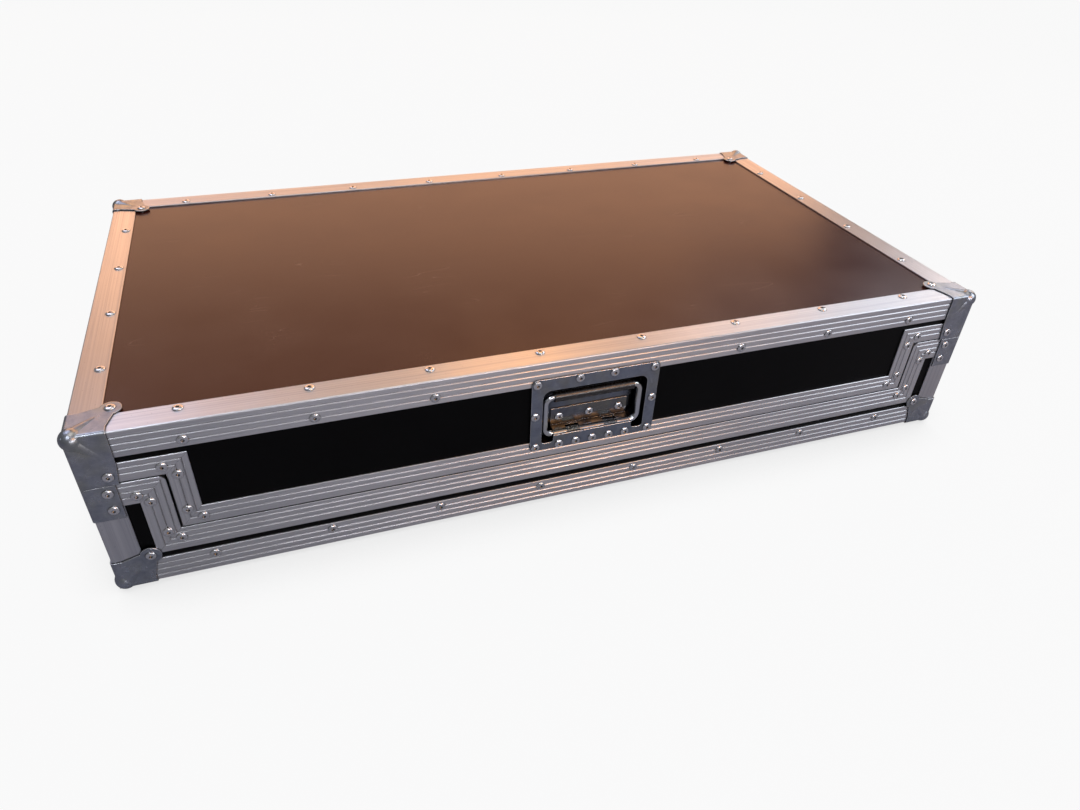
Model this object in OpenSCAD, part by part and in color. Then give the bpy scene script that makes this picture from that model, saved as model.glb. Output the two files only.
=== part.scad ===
// Low flight case for a table-top mixer or controller. Plywood panels sit in aluminium
// extrusions, the lid is hinged at the back and drops down the front, and a sprung handle
// is let into its front. All sizes are in millimetres.

/* [Case] */
// Width over the edge angles
case_w = 965; // [800:1:1200]
// Depth over the edge angles
case_d = 540; // [420:1:700]
// Height over the edge angles, with the lid shut
case_h = 181; // [176:1:240]
// Height of the lid at the sides, the back and the ends of the front
lid_h = 56; // [53:0.5:60]
// Strip of the front panel left bare between the foot's angle and the dropped seam
front_strip = 6.8; // [5.5:0.1:9.5]
// Width of the base's post at each end of the front
post_w = 66.5; // [66:0.5:80]
// Thickness of the plywood
panel_t = 7; // [6:0.1:8]

/* [Edge angles] */
// Width of each leg
angle_leg = 27.5; // [25:0.5:29]
// Thickness of each leg
angle_t = 2; // [1.6:0.1:2.4]
// Radius of the outer edge
angle_round = 1.6; // [1:0.1:2.4]
// Width of the grooves along the legs
groove_w = 1.9; // [1:0.1:2.4]
// Depth of the grooves
groove_d = 0.7; // [0.3:0.1:0.9]
// Bevel along the free edges of the extrusions
edge_bevel = 0.4; // [0.2:0.1:0.7]

/* [Seam profiles] */
// Height of the outer leg on the base half
seam_base_leg = 26; // [24:0.5:27]
// Height of the outer leg on the lid half
seam_lid_leg = 22; // [20:0.5:24]
// Gap between the two halves where they meet flat
seam_gap = 0.4; // [0.3:0.1:0.8]
// Gap between the two halves on the upright stretches
drop_gap = 1.2; // [0.8:0.1:2]
// Thickness of the nose that closes the panel's edge
nose_t = 6.5; // [6:0.1:8]
// Height of the inner leg
inner_leg = 14; // [10:0.5:18]
// Thickness of the inner leg
inner_t = 1.5; // [1.2:0.1:2]
// Thickness of the lid's tongue
tongue_t = 2.8; // [2.4:0.1:3.2]
// How far the tongue reaches below the seam
tongue_h = 4; // [3:0.1:4.4]
// Room on each side of the tongue in its groove
tongue_play = 1; // [0.9:0.1:1.2]
// Bevel at the foot of the lid half's outer leg
foot_bevel = 1.5; // [1:0.1:1.9]
// Radius on the top corner of the base's front posts
step_round = 6; // [4:0.5:9]
// Half the hairline left at each mitre
mitre_gap = 0.1; // [0.05:0.01:0.2]

/* [Steel corners] */
// Thickness of the steel
steel_t = 1.5; // [1.2:0.1:2]
// Radius of the ball
ball_r = 10; // [9:0.1:11]
// How far the ball's centre lies inside the case's faces
ball_in = 5.5; // [5:0.1:6]
// Length of a corner's legs along the edges
corner_leg = 33; // [31:0.5:35]
// Place of the tab's rivet, from both edges
tab_at = 34.5; // [33:0.5:35.5]
// Radius of the tab round its rivet
tab_r = 9.5; // [8:0.5:10]
// Width of the base's corner braces
brace_w = 26.5; // [24:0.5:32]
// Height of the base's corner braces
brace_h = 38.5; // [30:0.5:44]

/* [Rivets] */
// Radius of a blind rivet's head
head_r = 4.75; // [4.2:0.05:5]
// Height of the head
head_h = 1.8; // [1.4:0.1:2.2]
// Radius of the hole left by the mandrel
stem_r = 1.7; // [1.2:0.1:1.9]
// Distance of the rivets from the case's edges
rivet_in = 20; // [18:0.5:21]
// Number of rivets along the front and the back
long_rivets = 8; // [6:2:10]
// Distance of the first of them from the end
long_end = 89.3; // [75:0.1:100]
// Number of rivets along each side
short_rivets = 4; // [4:2:6]
// Distance of the first of them from the end
short_end = 104.5; // [90:0.5:115]

/* [Handle] */
// Width of the dish's flange
flange_w = 142; // [138:1:150]
// Height of the flange's lower edge above the dropped seam
flange_lift = 11.7; // [9.7:0.1:13.7]
// Gap from the top of the case to the flange
flange_drop = 19; // [17:0.5:20]
// Thickness of the dish's sheet
dish_t = 1.2; // [1:0.1:1.5]
// Width of the pocket
pocket_w = 117; // [116:0.5:122]
// Border of the flange above the pocket
pocket_top = 15; // [14:0.5:16]
// Border of the flange below the pocket
pocket_foot = 17; // [16:0.5:18]
// Depth of the pocket
pocket_d = 14; // [13:0.5:18]
// Radius of the pocket's corners
pocket_round = 9; // [6:0.5:12]
// Radius of the bail's rod
rod_r = 3.5; // [3.2:0.1:3.6]
// Spread of the bail's legs, centre to centre
bail_w = 107; // [105:0.5:108]
// Gap between the grip and the opening's upper edge
grip_gap = 6.7; // [5.7:0.1:9.7]
// Radius of the bail's bends
bail_bend = 8.5; // [7:0.5:10]
// Distance of the bail's pivot below the opening's lower edge
pivot_low = 1.5; // [1:0.1:2]
// Width of the plate that holds the pivot
ear_w = 88; // [80:1:90]
// Height of that plate above the pivot
ear_h = 25.5; // [22:0.5:28]
// Thickness of that plate
ear_t = 1.2; // [1:0.1:1.5]
// Radius of the grip
grip_r = 5.8; // [5:0.1:6]
// Length of the grip
grip_w = 89; // [80:1:89]
// Radius of the spring's wire
wire_r = 0.5; // [0.4:0.05:0.55]

/* [Latches] */
// Distance of the latches from the front
latch_at = 165; // [140:1:200]
// Width of the dish's flange
latch_w = 84; // [82:1:90]
// Height of the dish below the seam
latch_low = 44; // [42:0.5:46]
// Height of the dish above the seam
latch_high = 27; // [25:0.5:28]
// Width of the pocket
well_w = 62; // [60.5:0.5:64]
// Border between the pocket and the flange's lower edge
well_foot = 10; // [9:0.5:11]
// Border between the pocket and the flange's upper edge
well_head = 9; // [8:0.5:10]
// Depth of the pocket
well_d = 12; // [12:0.1:14]
// Distance of the hub's axis below the seam
hub_low = 17; // [16.5:0.1:17.5]
// Distance from the hub's axis to the claw's lip
claw_reach = 25; // [24.5:0.1:25.5]

/* [Hinges] */
// Width of a hinge
hinge_w = 62; // [50:1:80]
// Number of hinges across the back
hinge_count = 3; // [2:1:4]
// Distance of the outer hinges from the sides
hinge_end = 165; // [120:1:200]
// Radius of the hinge's knuckles
knuckle_r = 4; // [3.6:0.1:4.2]
// Radius of the hinge's pin
pin_r = 2; // [1.8:0.1:2.2]
// Thickness of the hinge's leaves
leaf_t = 2; // [1.6:0.1:2.2]

/* [Foam] */
// Thickness of the foam on the floor
floor_foam = 10; // [6:1:15]
// Thickness of the foam under the lid
lid_foam_t = 10; // [6:1:10]
// Thickness of the foam along the walls
wall_foam = 20; // [16:1:25]
// Distance from the seam down to the top of the foam along the walls
wall_foam_drop = 42; // [38:1:56]

/* [Hidden] */
$fn = 48;

// One overrun for every cut
over = 1;
// Running clearance of a pin in its bore
run_play = 0.05;
// Clearance between pieces that lie side by side, and round a dish in its hole
side_play = 0.3;
// Steps in a corner drawn as an arc
arc_steps = 8;

// Depths inward from the case's outer faces
panel_in = angle_t;
wall_in = panel_in + panel_t;
seam_in = wall_in + inner_t;
foam_in = wall_in + wall_foam;
tongue_mid = seam_in / 2;
groove_half = tongue_t / 2 + tongue_play;
groove_deep = tongue_h + tongue_play;
seam_z = case_h - lid_h;
drop_z = angle_leg + front_strip + seam_base_leg;
lid_z = seam_z + seam_gap;
lid_drop_z = drop_z + seam_gap;
lid_step_x = post_w + drop_gap;

// Places of the grooves across the legs, from the outer edge or the seam
angle_shares = [0.25, 0.5, 0.75];
base_seam_shares = [0.18, 0.43, 0.68];
lid_seam_shares = [0.44, 0.73];

// How far the balls and the hinges stand out, and the case's place in its own frame
stand = ball_r - ball_in;
pin_out = knuckle_r + side_play;
mid_y = (case_d + max(pin_out + knuckle_r, stand) - stand) / 2;

// Steel corners: the tab's neck, the lid plates' width at the seam, and the bead
tab_neck_share = 0.27;
lid_leg_w = corner_leg - 2 * steel_t;
steel_round = angle_round + steel_t;
bead_r1 = ball_r - steel_t / 2;
bead_r2 = head_r / 2;
bead_end = tab_at - head_r - bead_r2 / 2;
brace_rivets_share = [0.22, 0.72];
brace_rivet_in = brace_w - head_r - 2 * steel_t;

// Blind rivets: the mandrel's hole, the rim, and their places at the front's mitres
stem_deep = head_h * 5 / 6;
rim_h = head_h / 4;
lid_mitre_shares = [[-0.05, 0.45], [0.45, -0.05]];
lid_foot_shares = [[0.43, 0.95], [0.95, 0.43]];
base_mitre_shares = [[-1.03, -0.67], [-0.67, -1.03]];
base_foot_shares = [[-0.43, -0.06], [-0.06, -0.43]];

// The handle's places
handle_x = case_w / 2;
flange_z1 = case_h - flange_drop;
flange_z0 = drop_z + flange_lift;
pocket_x0 = handle_x - pocket_w / 2;
pocket_x1 = handle_x + pocket_w / 2;
pocket_z0 = flange_z0 + pocket_foot;
pocket_z1 = flange_z1 - pocket_top;
pivot_z = pocket_z0 - pivot_low;
bail_h = pocket_z1 - grip_gap - grip_r - pivot_z;
bend_r = min(bail_bend, bail_h / 2 - rod_r / 2);
lobe_z0 = pivot_z - 2 * rod_r;
lobe_w = (pocket_w - bail_w) / 2 + bail_bend;
rod_bore = rod_r + run_play;
ear_r = rod_bore + ear_t;
bail_y = ear_r + run_play;
flange_round = head_r + dish_t;
flange_rivet_in = head_r + run_play;
flange_rows = 5;
flange_row_gap = flange_w / 7.4;
ear_shares = [[0, 0.17], [0.34, 0.66], [0.83, 1]];
coil_turns = 8;
coil_r = rod_r + side_play + run_play + wire_r;

// The latch's layers, as depths behind the case's face
hub_in = well_d - side_play;
wing_t = 2;
wing_pin_r = wing_t / 2;
wing_knuckle_r = wing_t - run_play;
wing_pin_in = wing_knuckle_r + wing_t / 2;
boss_in = wing_pin_in + wing_knuckle_r + side_play;
claw_t = 2;
claw_in = boss_in + run_play * 4;
claw_back = claw_in + claw_t;
lip_in = well_d - claw_t / 2;
lip_t = 3;
claw_w = 14;
hub_r = 9;
boss_r = 6;
spindle_r = 4;
block_half = boss_r / 2;
wing_r = hub_low - claw_t / 2;
wing_slot = block_half + side_play;
wing_notch = norm([block_half, wing_pin_in]) + side_play;
keeper_in = claw_back + side_play;
keeper_half = claw_w * 2 / 3;
keeper_low = claw_t;
strip_x = (latch_w + well_w) / 4;
strip_low = latch_low - well_foot / 2;
strip_high = latch_high - well_head / 2;

// Hinges
leaf_h = seam_lid_leg - over;
leaf_start = knuckle_r + side_play;
hinge_z = seam_z + seam_gap / 2;
knuckles = 5;
knuckle_w = (hinge_w - (knuckles - 1) * side_play) / knuckles;
hinge_places = [for (i = [0:hinge_count - 1])
    hinge_end + i * (case_w - 2 * hinge_end) / (hinge_count - 1)];
hinge_rivet_shares = [0.17, 0.5, 0.83];

// Frames: x runs along a side, y inward from its outer face, z up from the case's foot
side_corner = [[0, 0, 0], [case_w, 0, 0], [case_w, case_d, 0], [0, case_d, 0]];
side_length = [case_w, case_d, case_w, case_d];
module placed() translate([-case_w / 2, -mid_y, stand]) children();
module on_side(k) translate(side_corner[k]) rotate([0, 0, 90 * k]) children();
module mirrored_x() translate([case_w, 0, 0]) mirror([1, 0, 0]) children();
module mirrored_y() translate([0, case_d, 0]) mirror([0, 1, 0]) children();
module on_right() on_side(1) children();
module on_left() mirrored_x() on_side(1) children();
module upside_down() translate([0, 0, case_h]) mirror([0, 0, 1]) children();
module both_ends() {
    children();
    mirrored_x() children();
}
module each_corner() {
    both_ends() children();
    mirrored_y() both_ends() children();
}

function arc(cx, cy, r, a0, a1) =
    [for (i = [0:arc_steps]) let (a = a0 + (a1 - a0) * i / arc_steps)
        [cx + r * cos(a), cy + r * sin(a)]];
function spread(n, first, len) = [for (i = [0:n - 1]) first + i * (len - 2 * first) / (n - 1)];

module block(a, b) translate(a) cube(b - a);
// An outline in depth and height, run along a side
module bar(len, points) rotate([90, 0, 90]) linear_extrude(len) polygon(points);
// An outline in x and height, between two depths
module upright(y0, y1, points)
    translate([0, y1, 0]) rotate([90, 0, 0]) linear_extrude(y1 - y0) polygon(points);
module post(y0, y1, r) translate([0, y0, 0]) rotate([-90, 0, 0]) cylinder(h = y1 - y0, r = r);
module rod(x0, x1, r) translate([x0, 0, 0]) rotate([0, 90, 0]) cylinder(h = x1 - x0, r = r);
// A slab with round corners, between two depths
module slab(y0, y1, x0, z0, x1, z1, r) upright(y0, y1, concat(
    arc(x1 - r, z0 + r, r, -90, 0), arc(x1 - r, z1 - r, r, 0, 90),
    arc(x0 + r, z1 - r, r, 90, 180), arc(x0 + r, z0 + r, r, 180, 270)));
// The cut that rounds an edge running along x
module edge_cut(len, r) difference() {
    block([-r - over, -r - over, -r - over], [len, r, r]);
    translate([0, r, r]) rod(-r - 2 * over, len + over, r);
}

// Extrusions
function grooves_back(leg, shares) = [for (i = [len(shares) - 1:-1:0], k = [1, 0, -1])
    [(1 - abs(k)) * groove_d, shares[i] * leg + k * groove_w / 2]];
// One leg is plain: the one that lies flat on an edge angle, and a corner post's front one
function angle_outline() = concat(
    arc(angle_round, angle_round, angle_round, 180, 270),
    [[angle_leg - edge_bevel, 0], [angle_leg, edge_bevel], [angle_leg, angle_t]],
    [[angle_t, angle_t], [angle_t, angle_leg], [edge_bevel, angle_leg]],
    [[0, angle_leg - edge_bevel]], grooves_back(angle_leg, angle_shares));
// One half of the seam, with its height counted away from the seam
function seam_outline(leg, bevel, shares) = concat(
    [[0, bevel], [bevel, 0], [seam_in, 0], [seam_in, inner_leg], [wall_in, inner_leg]],
    [[wall_in, nose_t], [panel_in, nose_t], [panel_in, leg - edge_bevel]],
    [[panel_in - edge_bevel, leg], [edge_bevel, leg], [0, leg - edge_bevel]],
    grooves_back(leg, shares));

// Ends cut at 45 degrees in plan, where one side meets the next
module plan_mitre(len, deep) translate([0, 0, -over]) linear_extrude(case_h + 2 * over)
    polygon([[mitre_gap - over, -over], [len - mitre_gap + over, -over],
        [len - mitre_gap - deep, deep], [mitre_gap + deep, deep]]);
// Ends cut at 45 degrees in elevation; lean is 1 where the bar grows away from the seam
module step_mitre(len, leg, lean0, lean1) upright(-over, seam_in + over, [
    [mitre_gap * abs(lean0) + lean0 * over, -over],
    [len - mitre_gap * abs(lean1) - lean1 * over, -over],
    [len - mitre_gap * abs(lean1) + lean1 * (leg + over), leg + over],
    [mitre_gap * abs(lean0) - lean0 * (leg + over), leg + over]]);
module seam_bar(len, leg, bevel, shares, lean0, lean1) intersection() {
    translate([-2 * leg, 0, 0]) bar(len + 4 * leg, seam_outline(leg, bevel, shares));
    step_mitre(len, leg, lean0, lean1);
}
module base_bar(x, z, turn, len, lean0, lean1) translate([x, 0, z]) rotate([0, turn, 0])
    seam_bar(len, seam_base_leg, edge_bevel, base_seam_shares, lean0, lean1);
module lid_bar(x, z, turn, len, lean0, lean1) translate([x, 0, z]) rotate([0, turn, 0])
    seam_bar(len, seam_lid_leg, foot_bevel, lid_seam_shares, lean0, lean1);
// The tongue under the lid and the groove that takes it
module tongue(x0, x1, z) block([x0, tongue_mid - tongue_t / 2, z - tongue_h],
    [x1, tongue_mid + tongue_t / 2, z + nose_t / 2]);
module tongue_groove(x0, x1, z) block([x0, tongue_mid - groove_half, z - groove_deep],
    [x1, tongue_mid + groove_half, z + over]);

module edge_angle(k) on_side(k) intersection() {
    bar(side_length[k], angle_outline());
    plan_mitre(side_length[k], angle_leg + over);
}
module side_base_seam(k) on_side(k) difference() {
    intersection() {
        mirror([0, 0, 1]) translate([0, 0, -seam_z])
            bar(side_length[k], seam_outline(seam_base_leg, edge_bevel, base_seam_shares));
        plan_mitre(side_length[k], seam_in + over);
    }
    if (k != 2) tongue_groove(seam_in, side_length[k] - seam_in, seam_z);
}
module side_lid_seam(k) on_side(k) {
    intersection() {
        translate([0, 0, lid_z])
            bar(side_length[k], seam_outline(seam_lid_leg, foot_bevel, lid_seam_shares));
        plan_mitre(side_length[k], seam_in + over);
    }
    if (k != 2) tongue(seam_in + tongue_play, side_length[k] - seam_in - tongue_play, seam_z);
}
// The upright cut through a side where a latch is let in
module latch_hole() {
    half = well_w / 2 + dish_t + side_play;
    drop = latch_low - well_foot + dish_t + side_play;
    rise = latch_high - well_head + dish_t + side_play;
    block([latch_at - half, -over, seam_z - drop], [latch_at + half, well_d * 2, seam_z + rise]);
}
module latch_holes() {
    on_left() latch_hole();
    on_right() latch_hole();
}
module handle_tray(grow, y0, y1) slab(y0, y1, pocket_x0 - grow, lobe_z0 - grow,
    pocket_x1 + grow, pocket_z1 + grow, rod_r + grow);

// Panels
ply = "#3d2620";
black_ply = "#0c0c0d";
alu = "#b9b6b8";
zinc = "#8d929c";
foam_grey = "#2a2b2e";

module lid_top_panel() color(ply) placed()
    block([panel_in, panel_in, case_h - wall_in],
        [case_w - panel_in, case_d - panel_in, case_h - panel_in]);
module lid_front_panel() color(black_ply) placed() difference() {
    upright(panel_in, wall_in, [
        [panel_in, case_h - wall_in], [panel_in, lid_z + nose_t],
        [lid_step_x + nose_t, lid_z + nose_t], [lid_step_x + nose_t, lid_drop_z + nose_t],
        [case_w - lid_step_x - nose_t, lid_drop_z + nose_t],
        [case_w - lid_step_x - nose_t, lid_z + nose_t],
        [case_w - panel_in, lid_z + nose_t], [case_w - panel_in, case_h - wall_in]]);
    handle_tray(dish_t + side_play, -over, wall_in + over);
}
module lid_back_panel() color(black_ply) placed()
    block([panel_in, case_d - wall_in, lid_z + nose_t],
        [case_w - panel_in, case_d - panel_in, case_h - wall_in]);
module lid_side_panel() difference() {
    block([panel_in, wall_in, lid_z + nose_t], [wall_in, case_d - wall_in, case_h - wall_in]);
    latch_holes();
}
module lid_left_panel() color(black_ply) placed() lid_side_panel();
module lid_right_panel() color(black_ply) placed() mirrored_x() lid_side_panel();
module base_floor_panel() color(ply) placed()
    block([panel_in, panel_in, panel_in], [case_w - panel_in, case_d - panel_in, wall_in]);
module base_front_panel() color(black_ply) placed()
    upright(panel_in, wall_in, [
        [panel_in, wall_in], [case_w - panel_in, wall_in], [case_w - panel_in, seam_z - nose_t],
        [case_w - post_w + nose_t, seam_z - nose_t], [case_w - post_w + nose_t, drop_z - nose_t],
        [post_w - nose_t, drop_z - nose_t], [post_w - nose_t, seam_z - nose_t],
        [panel_in, seam_z - nose_t]]);
module base_back_panel() color(black_ply) placed()
    block([panel_in, case_d - wall_in, wall_in],
        [case_w - panel_in, case_d - panel_in, seam_z - nose_t]);
module base_side_panel() difference() {
    block([panel_in, wall_in, wall_in], [wall_in, case_d - wall_in, seam_z - nose_t]);
    latch_holes();
}
module base_left_panel() color(black_ply) placed() base_side_panel();
module base_right_panel() color(black_ply) placed() mirrored_x() base_side_panel();

// Edge angles and corner posts
module lid_front_angle() color(alu) placed() upside_down() edge_angle(0);
module lid_right_angle() color(alu) placed() upside_down() edge_angle(1);
module lid_back_angle() color(alu) placed() upside_down() edge_angle(2);
module lid_left_angle() color(alu) placed() upside_down() edge_angle(3);
module base_front_angle() color(alu) placed() edge_angle(0);
module base_right_angle() color(alu) placed() edge_angle(1);
module base_back_angle() color(alu) placed() edge_angle(2);
module base_left_angle() color(alu) placed() edge_angle(3);
module base_corner_posts() color(alu) placed() each_corner()
    translate([0, 0, angle_leg + mitre_gap])
        linear_extrude(seam_z - seam_base_leg - angle_leg - 2 * mitre_gap) polygon(angle_outline());

// Seam profiles. At the front both halves step down beside the posts.
module lid_front_seam_profile() color(alu) placed() difference() {
    union() {
        intersection() {
            union() {
                lid_bar(lid_step_x, lid_drop_z, 0, case_w - 2 * lid_step_x, -1, -1);
                both_ends() {
                    lid_bar(0, lid_z, 0, lid_step_x, 0, 1);
                    lid_bar(lid_step_x, lid_z, 90, lid_z - lid_drop_z, 1, -1);
                }
            }
            plan_mitre(case_w, seam_in + over);
        }
        tongue(lid_step_x + nose_t, case_w - lid_step_x - nose_t, drop_z);
        both_ends() tongue(seam_in + tongue_play, post_w - nose_t, seam_z);
    }
    handle_tray(dish_t + side_play, -over, wall_in + over);
    both_ends() translate([lid_step_x, 0, lid_drop_z]) foot_round(step_round * 2 / 3);
}
// The cut that rounds a corner seen from the front
module foot_round(r) difference() {
    block([-over, -over, -over], [r, seam_in + over, r]);
    translate([r, 0, r]) post(-2 * over, seam_in + 2 * over, r);
}
module lid_right_seam_profile() color(alu) placed() difference() {
    side_lid_seam(1);
    latch_holes();
}
module lid_back_seam_profile() color(alu) placed() side_lid_seam(2);
module lid_left_seam_profile() color(alu) placed() difference() {
    side_lid_seam(3);
    latch_holes();
}
module base_front_seam_profile() color(alu) placed() difference() {
    intersection() {
        union() {
            base_bar(case_w - post_w, drop_z, 180, case_w - 2 * post_w, 1, 1);
            both_ends() {
                base_bar(post_w, seam_z, 180, post_w, -1, 0);
                base_bar(post_w, drop_z, -90, seam_z - drop_z, 1, -1);
            }
        }
        plan_mitre(case_w, seam_in + over);
    }
    tongue_groove(lid_step_x, case_w - lid_step_x, drop_z);
    both_ends() {
        tongue_groove(seam_in, post_w - nose_t + over, seam_z);
        translate([post_w, 0, seam_z]) rotate([0, 180, 0]) foot_round(step_round);
    }
}
module base_right_seam_profile() color(alu) placed() difference() {
    side_base_seam(1);
    latch_holes();
}
module base_back_seam_profile() color(alu) placed() side_base_seam(2);
module base_left_seam_profile() color(alu) placed() difference() {
    side_base_seam(3);
    latch_holes();
}

// Steel corners, drawn with the case's corner at the origin
module along_three() {
    children();
    mirror([1, -1, 0]) children();
    mirror([1, 0, -1]) children();
}
module on_three() {
    children();
    mirror([0, 1, -1]) children();
    mirror([1, 0, -1]) children();
}
module tab_plate() {
    translate([0, 0, -steel_t]) linear_extrude(steel_t) polygon([
        [-steel_t, -steel_t], [corner_leg, -steel_t], [corner_leg, tab_neck_share * corner_leg],
        [tab_at + tab_r / 3, tab_at - tab_r], [tab_at - tab_r, tab_at + tab_r / 3],
        [tab_neck_share * corner_leg, corner_leg], [-steel_t, corner_leg]]);
    translate([tab_at, tab_at, -steel_t]) cylinder(h = steel_t, r = tab_r);
}
module tall_plate() {
    end = case_h - lid_z;
    translate([0, 0, -steel_t]) linear_extrude(steel_t) polygon([
        [-steel_t, -steel_t], [corner_leg, -steel_t], [corner_leg, corner_leg],
        [lid_leg_w, end], [-steel_t, end]]);
}
// The ridge pressed from the ball towards the tab
module bead() {
    run = (bead_end - ball_in) * sqrt(2);
    fall = ball_in - bead_r2 / 2;
    translate([ball_in, ball_in, ball_in]) rotate([0, 90 + atan(fall / run), 45])
        cylinder(h = norm([run, fall]), r1 = bead_r1, r2 = bead_r2);
    translate([bead_end, bead_end, bead_r2 / 2]) sphere(r = bead_r2);
}
module tab_foot() translate([tab_at, tab_at, -steel_t / 2])
    cylinder(h = panel_in + steel_t / 2, r = head_r);
module hollow_of_corner() block([0, 0, 0], [case_h, case_h, case_h]);
module rounded_edges() along_three() translate([-steel_t, -steel_t, -steel_t])
    edge_cut(case_h, steel_round);
module base_ball_corner() {
    difference() {
        union() {
            difference() {
                on_three() tab_plate();
                rounded_edges();
            }
            translate([ball_in, ball_in, ball_in]) sphere(r = ball_r);
            on_three() bead();
        }
        hollow_of_corner();
    }
    on_three() tab_foot();
}
module lid_ball_corner() {
    difference() {
        union() {
            difference() {
                union() {
                    tab_plate();
                    mirror([0, 1, -1]) tall_plate();
                    mirror([1, -1, 0]) mirror([0, 1, -1]) tall_plate();
                }
                rounded_edges();
            }
            translate([ball_in, ball_in, ball_in]) sphere(r = ball_r);
            on_three() bead();
        }
        hollow_of_corner();
    }
    tab_foot();
}
module base_ball_corners() color(zinc) placed() each_corner() base_ball_corner();
module lid_ball_corners() color(zinc) placed() upside_down() each_corner() lid_ball_corner();
module base_corner_braces() color(zinc) placed() each_corner() difference() {
    block([-steel_t, -steel_t, seam_z - brace_h], [brace_w, brace_w, seam_z]);
    block([0, 0, 0], [case_h, case_h, case_h]);
    translate([-steel_t, -steel_t, 0]) mirror([1, 0, -1]) edge_cut(case_h, steel_round);
}

// Blind rivets
module head() rotate_extrude() polygon(concat(
    [[0, 0], [head_r, 0], [head_r, rim_h]],
    [for (i = [1:arc_steps]) let (a = 90 * i / arc_steps)
        [stem_r + (head_r - stem_r) * cos(a), rim_h + (head_h - rim_h) * sin(a)]],
    [[stem_r, head_h - stem_deep], [0, head_h - stem_deep]]));
module face_rivet(x, z, out = 0) translate([x, -out, z]) rotate([90, 0, 0]) head();
module flat_rivet(x, y, out = 0) translate([x, y, -out]) mirror([0, 0, 1]) head();
function side_row(k) = spread(k % 2 == 0 ? long_rivets : short_rivets,
    k % 2 == 0 ? long_end : short_end, side_length[k]);
// The rows along the foot of the case, and the same rows along its top
module edge_rivets(k) for (x = side_row(k)) {
    on_side(k) face_rivet(x, rivet_in);
    on_side(k) flat_rivet(x, rivet_in);
}
module clear_of_handle(x) if (abs(x - handle_x) > flange_w / 2 + head_r) children();
module latch_rivets(up) {
    side_z = seam_z + (up ? latch_high : -latch_low / 3) / 2;
    for (s = [-1, 1]) face_rivet(latch_at + s * strip_x, side_z, dish_t);
    if (up) for (s = [-1, 1]) face_rivet(latch_at + s * well_w / 3, seam_z + strip_high, dish_t);
    else for (s = [-1, 1]) face_rivet(latch_at + s * strip_x, seam_z - strip_low, dish_t);
}
module lid_rivets() color(alu) placed() {
    upside_down() {
        for (x = side_row(0)) {
            clear_of_handle(x) face_rivet(x, rivet_in);
            flat_rivet(x, rivet_in);
        }
        for (k = [1:3]) edge_rivets(k);
        each_corner() flat_rivet(tab_at, tab_at, steel_t);
        each_corner() {
            corner_z = case_h - lid_z - 2 * head_r;
            face_rivet(lid_leg_w - head_r - steel_t, corner_z, steel_t);
            mirror([1, -1, 0]) face_rivet(lid_leg_w - head_r - steel_t, corner_z, steel_t);
        }
    }
    both_ends() {
        for (s = lid_mitre_shares)
            face_rivet(lid_step_x + s[0] * seam_lid_leg, lid_z + s[1] * seam_lid_leg);
        for (s = lid_foot_shares)
            face_rivet(lid_step_x + s[0] * seam_lid_leg, lid_drop_z + s[1] * seam_lid_leg);
    }
    on_left() latch_rivets(true);
    on_right() latch_rivets(true);
    on_side(2) for (h = hinge_places, s = hinge_rivet_shares)
        face_rivet(h + (s - 0.5) * hinge_w, hinge_z + (leaf_start + leaf_h) / 2, leaf_t);
}
module base_rivets() color(alu) placed() {
    for (k = [0:3]) edge_rivets(k);
    each_corner() {
        on_three() flat_rivet(tab_at, tab_at, steel_t);
        for (s = brace_rivets_share) {
            face_rivet(brace_rivet_in, seam_z - s * brace_h, steel_t);
            mirror([1, -1, 0]) face_rivet(brace_rivet_in, seam_z - s * brace_h, steel_t);
        }
    }
    both_ends() {
        for (s = base_mitre_shares)
            face_rivet(post_w + s[0] * seam_base_leg, seam_z + s[1] * seam_base_leg);
        for (s = base_foot_shares)
            face_rivet(post_w + s[0] * seam_base_leg, drop_z + s[1] * seam_base_leg);
    }
    on_left() latch_rivets(false);
    on_right() latch_rivets(false);
    on_side(2) for (h = hinge_places, s = hinge_rivet_shares)
        face_rivet(h + (s - 0.5) * hinge_w, hinge_z - (leaf_start + leaf_h) / 2, leaf_t);
}

// Foam
module lid_foam() color(foam_grey) placed()
    block([wall_in + side_play, wall_in + side_play, case_h - wall_in - lid_foam_t],
        [case_w - wall_in - side_play, case_d - wall_in - side_play, case_h - wall_in]);
module floor_foam_pad() color(foam_grey) placed()
    block([foam_in + side_play, wall_in + side_play, wall_in],
        [case_w - foam_in - side_play, case_d - foam_in - side_play, wall_in + floor_foam]);
module side_foam() block([wall_in, wall_in + side_play, wall_in],
    [foam_in, case_d - wall_in - side_play, seam_z - wall_foam_drop]);
module left_foam_pad() color(foam_grey) placed() side_foam();
module right_foam_pad() color(foam_grey) placed() mirrored_x() side_foam();
module back_foam_pad() color(foam_grey) placed()
    block([foam_in + side_play, case_d - foam_in, wall_in],
        [case_w - foam_in - side_play, case_d - wall_in, seam_z - wall_foam_drop]);

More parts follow.
